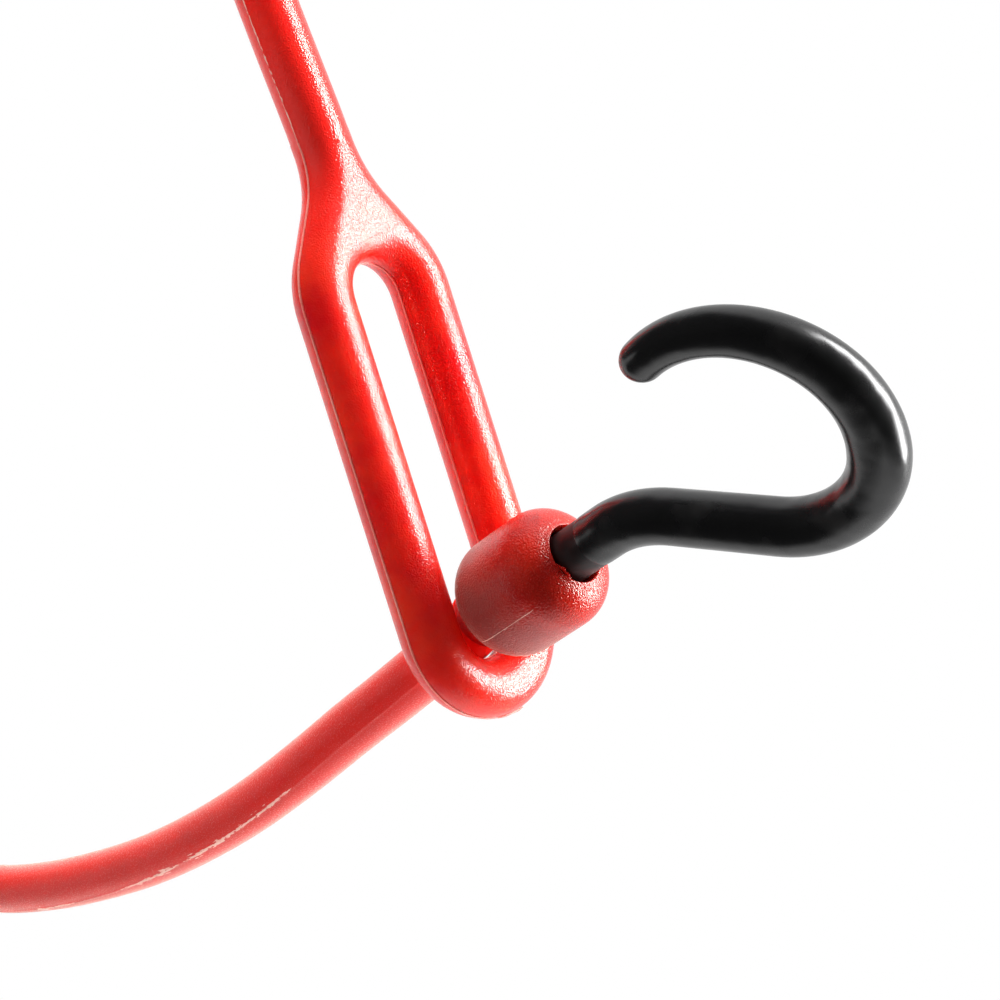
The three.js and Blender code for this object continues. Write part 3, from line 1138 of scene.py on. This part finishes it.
    def torn_lip(self) -> Piece:
        """Builds the torn sliver that stands up from the mouth beside the hook's collar.

        Returns:
            The sliver's object.
        """
        axial = Vector((0, 1, 0))
        lean = Matrix.Rotation(self.tear_lean, 4, "Z")
        count = self.tear_steps + 1
        frames = []
        for i in range(count):
            turn = between(i, [(0, self.tear[0]), (self.tear_steps, self.tear[1])])
            outward = Vector((math.cos(turn), 0, math.sin(turn)))
            ragged = self.tear_swell[0] + self.tear_swell[1] * noise.noise(outward * self.tear_scale)
            high = self.tear_half * max(self.tear_least, math.sin(math.pi * (i + 0.5) / count)) * ragged
            spot = outward * (self.bore - self.tear_inset) + axial * (self.mouth - self.tear_sunk + high)
            upright = Hang.placed(axial, outward, axial.cross(outward), spot)
            frames.append(upright @ lean @ Matrix.Diagonal((high, self.tear_thick, 1, 1)))
        sweep = Sweep(round_section(1.0, self.tear_sides)).run(frames, list(range(count)))
        return finish_mesh("torn_lip", sweep.mesh, HANG.bulb_frame())

    def build(self) -> list[Piece]:
        """Builds and dresses the bulb.

        Returns:
            Its pieces.
        """
        red = self.finish.build()
        barrel = dress(self.barrel(), Body.BULB, Slot.RED, red, self.neck_finish.build())
        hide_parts("bulb")
        return [
            barrel,
            dress(self.torn_lip(), Body.BULB, Slot.RED, red),
            dress(self.seam(), Body.BULB, Slot.RED, self.seam_finish.build()),
        ]


@dataclass
class Hook:
    """The nylon hook: a captive head, a collar and a bent rod that tapers to a round tip."""

    finish: BlackNylon = BlackNylon("hook_black")
    foot: float = 15.56 * MM
    mouth: float = 24.36 * MM
    head: float = 6.0 * MM
    head_length: float = 4.0 * MM
    edge: float = 0.2 * MM
    nick: float = 0.01 * MM
    head_bevel: float = 0.9
    rod_bevel: float = 0.03 * MM
    shank: float = 3.92 * MM
    collar: float = 4.6 * MM
    rod: float = 4.0 * MM
    crown: float = 4.35 * MM
    tip: float = 3.1 * MM
    lead: float = 7.7 * MM
    bends: Pairs = ((15.0, -41.4), (15.2, 0.0), (15.0, 89.8), (18.5, 84.3), (16.9, 65.0))
    crown_stretch: int = 4
    sides: int = 44
    step: float = 0.9 * MM
    tip_steps: int = 11
    tip_close: float = 0.3

    def stretches(self) -> list[Pair]:
        """Lists each stretch of the hook's line as its length and its bend in radians.

        Returns:
            The stretches from the head's foot to the tip.
        """
        runs = [(self.mouth - self.foot + self.lead, 0.0)]
        for size, bend in self.bends:
            turn = math.radians(bend)
            runs.append((size * MM * abs(turn) if turn else size * MM, turn))
        return runs

    def at(self, distance: float) -> Matrix:
        """Finds the section's frame at a distance along the hook's line.

        Args:
            distance: Distance from the head's foot.

        Returns:
            The matrix from the section's plane to the hook's own axes.
        """
        x = y = heading = 0.0
        left = distance
        for length, bend in self.stretches():
            travel = min(left, length)
            turn = bend * travel / length
            chord = travel if turn == 0 else 2 * length * math.sin(turn / 2) / bend
            x += chord * math.sin(heading + turn / 2)
            y += chord * math.cos(heading + turn / 2)
            heading += turn
            left -= travel
        side = Vector((math.cos(heading), -math.sin(heading), 0))
        ahead = Vector((math.sin(heading), math.cos(heading), 0))
        return Hang.placed(side, ahead.cross(side), ahead, Vector((x, y, 0)))

    def stations(self) -> list[Pair]:
        """Lists the stations as distance along the line and radius.

        Returns:
            The stations from the head's foot to the tip.
        """
        total = sum(length for length, _ in self.stretches())
        ring = self.mouth - self.foot + self.collar
        crown = sum(length for length, _ in self.stretches()[: self.crown_stretch])
        start = ring + self.edge
        last = total - self.tip
        stations = [
            (0.0, self.head * self.head_bevel), (self.edge, self.head), (self.head_length, self.head),
            (self.head_length + self.nick, self.shank), (ring - self.nick, self.shank),
            (ring, self.rod - self.rod_bevel), (start, self.rod),
        ]
        sizes = [(start, self.rod), (crown, self.crown), (last, self.tip)]
        count = round((last - start) / self.step)
        for i in range(1, count + 1):
            place = start + (last - start) * i / count
            stations.append((place, between(place, sizes)))
        for i in range(1, self.tip_steps + 1):
            angle = math.pi / 2 * i / (self.tip_steps + self.tip_close)
            stations.append((last + self.tip * math.sin(angle), self.tip * math.cos(angle)))
        return stations

    def build(self) -> Piece:
        """Builds and dresses the hook.

        Returns:
            The hook's object.
        """
        stations = self.stations()
        frames = [self.at(place) @ Matrix.Diagonal((size, size, 1, 1)) for place, size in stations]
        sweep = Sweep(round_section(1.0, self.sides)).run(frames, [place for place, _ in stations])
        sweep.map_uv()
        place = HANG.hook_frame() @ Matrix.Translation((0, self.foot, 0))
        piece = finish_mesh("hook_rod", sweep.mesh, place)
        dress(piece, Body.HOOK, Slot.BLACK, self.finish.build())
        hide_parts("hook")
        return piece


# The studio


@dataclass
class Studio:
    """Camera, floor and light: a tall softbox at the right, three soft lamps and a bright wall."""

    eye: Spot = (0.3154, -0.2552, -0.0038)
    aim: Spot = (0.067462, 0.025241, -0.113192)
    lens: float = 86.4
    sensor: float = 36.0
    nearest: float = 0.01
    centre: Spot = (0.09, 0.0, -0.10)
    softbox_way: Spot = (0.645, 0.72, 0.255)
    softbox_far: float = 0.80
    softbox_size: Pair = (0.28, 1.30)
    softbox_power: float = 23.0
    soft_far: float = 1.0
    soft_size: Pair = (1.0, 1.0)
    soft_lamps: tuple[tuple[str, Spot, float], ...] = (
        ("front", (-0.45, -0.85, 0.27), 7.2),
        ("above", (-0.35, 0.25, 0.86), 20.0),
        ("below", (0.30, 0.20, -1.0), 14.0),
    )
    room: float = 0.03
    wall_shift: float = 0.30
    wall_rise: float = 0.35
    wall_taper: float = 0.8
    wall_edge: Pair = (-0.45, 0.10)
    floor_height: float = -1.2
    floor_size: float = 30.0
    floor_start: float = 0.1

    def camera(self) -> None:
        """Creates the camera at the photograph's angle."""
        data = bpy.data.cameras.new("camera")
        data.lens = self.lens
        data.sensor_width = self.sensor
        data.clip_start = self.nearest
        piece = bpy.data.objects.new("camera", data)
        bpy.context.collection.objects.link(piece)
        piece.location = self.eye
        piece.rotation_euler = (Vector(self.aim) - Vector(self.eye)).to_track_quat("-Z", "Y").to_euler()
        bpy.context.scene.camera = piece

    def lamp(self, name: str, way: Spot, far: float, size: Pair, power: float) -> Piece:
        """Hangs a flat lamp that faces the part.

        Args:
            name: The lamp's name.
            way: Direction from the part to the lamp.
            far: Distance from the part.
            size: Its width and height.
            power: Watts.

        Returns:
            The lamp's object.
        """
        data = bpy.data.lights.new(name, "AREA")
        data.shape = "RECTANGLE"
        data.size, data.size_y = size
        data.energy = power
        piece = bpy.data.objects.new(name, data)
        bpy.context.collection.objects.link(piece)
        direction = Vector(way).normalized()
        piece.location = Vector(self.centre) + direction * far
        piece.rotation_euler = direction.to_track_quat("Z", "Y").to_euler()
        piece.visible_camera = False
        return piece

    def world(self) -> None:
        """Lights the part from a bright wall behind, overhead and below, in a room that is dim in front."""
        world = bpy.data.worlds.new("studio")
        world.use_nodes = True
        board = Board(world.node_tree)
        way = board.add("ShaderNodeTexCoord").outputs["Generated"]
        back = (Vector(self.aim) - Vector(self.eye)).normalized()
        side = back.cross(Vector((0, 0, 1))).normalized()
        height = board.calc("ABSOLUTE", board.dot(way, Vector((0, 0, 1))))
        behind = board.calc("ADD", board.dot(way, back), board.calc("MULTIPLY", height, self.wall_rise))
        sideways = board.calc("SUBTRACT", board.dot(way, side), self.wall_shift)
        sideways = board.calc("ABSOLUTE", sideways)
        reach = board.calc("SUBTRACT", behind, board.calc("MULTIPLY", sideways, self.wall_taper))
        wall = board.span(reach, *self.wall_edge, self.room, 1.0)
        seen = board.add("ShaderNodeLightPath").outputs["Is Camera Ray"]
        strength = board.calc("MAXIMUM", wall, seen)
        light = board.add("ShaderNodeBackground", Color=(1, 1, 1, 1), Strength=strength)
        board.add("ShaderNodeOutputWorld", Surface=light.outputs["Background"])
        bpy.context.scene.world = world

    def floor(self) -> None:
        """Lays the pale floor below and behind the hanging ring, as a photographer's sheet lies."""
        mesh = bmesh.new()
        bmesh.ops.create_grid(mesh, x_segments=8, y_segments=8, size=self.floor_size / 2)
        behind = (Vector(self.aim) - Vector(self.eye)) * Vector((1, 1, 0))
        middle = behind.normalized() * (self.floor_size / 2 + self.floor_start)
        turn = Matrix.Rotation(math.atan2(behind.y, behind.x), 4, "Z")
        place = Matrix.Translation((middle.x, middle.y, self.floor_height)) @ turn
        piece = finish_mesh("floor", mesh, place)
        piece.data.materials.append(PaleFloor("pale_floor").build())

    def build(self) -> None:
        """Builds the studio."""
        self.camera()
        self.lamp("softbox", self.softbox_way, self.softbox_far, self.softbox_size, self.softbox_power)
        for name, way, power in self.soft_lamps:
            self.lamp(name, way, self.soft_far, self.soft_size, power).visible_glossy = False
        self.world()
        self.floor()
        bpy.context.scene.view_settings.view_transform = "Standard"


def main() -> None:
    """Loads the frame, builds the studio and the pieces, and logs each piece's name."""
    logging.basicConfig(level=logging.INFO, format="%(name)s %(message)s")
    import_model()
    Studio().build()
    for piece in (Cord().build(), *LoopEnd().build(), *Bulb().build(), Hook().build()):
        log.info("built %s", piece.name)


if __name__ == "__main__":
    main()
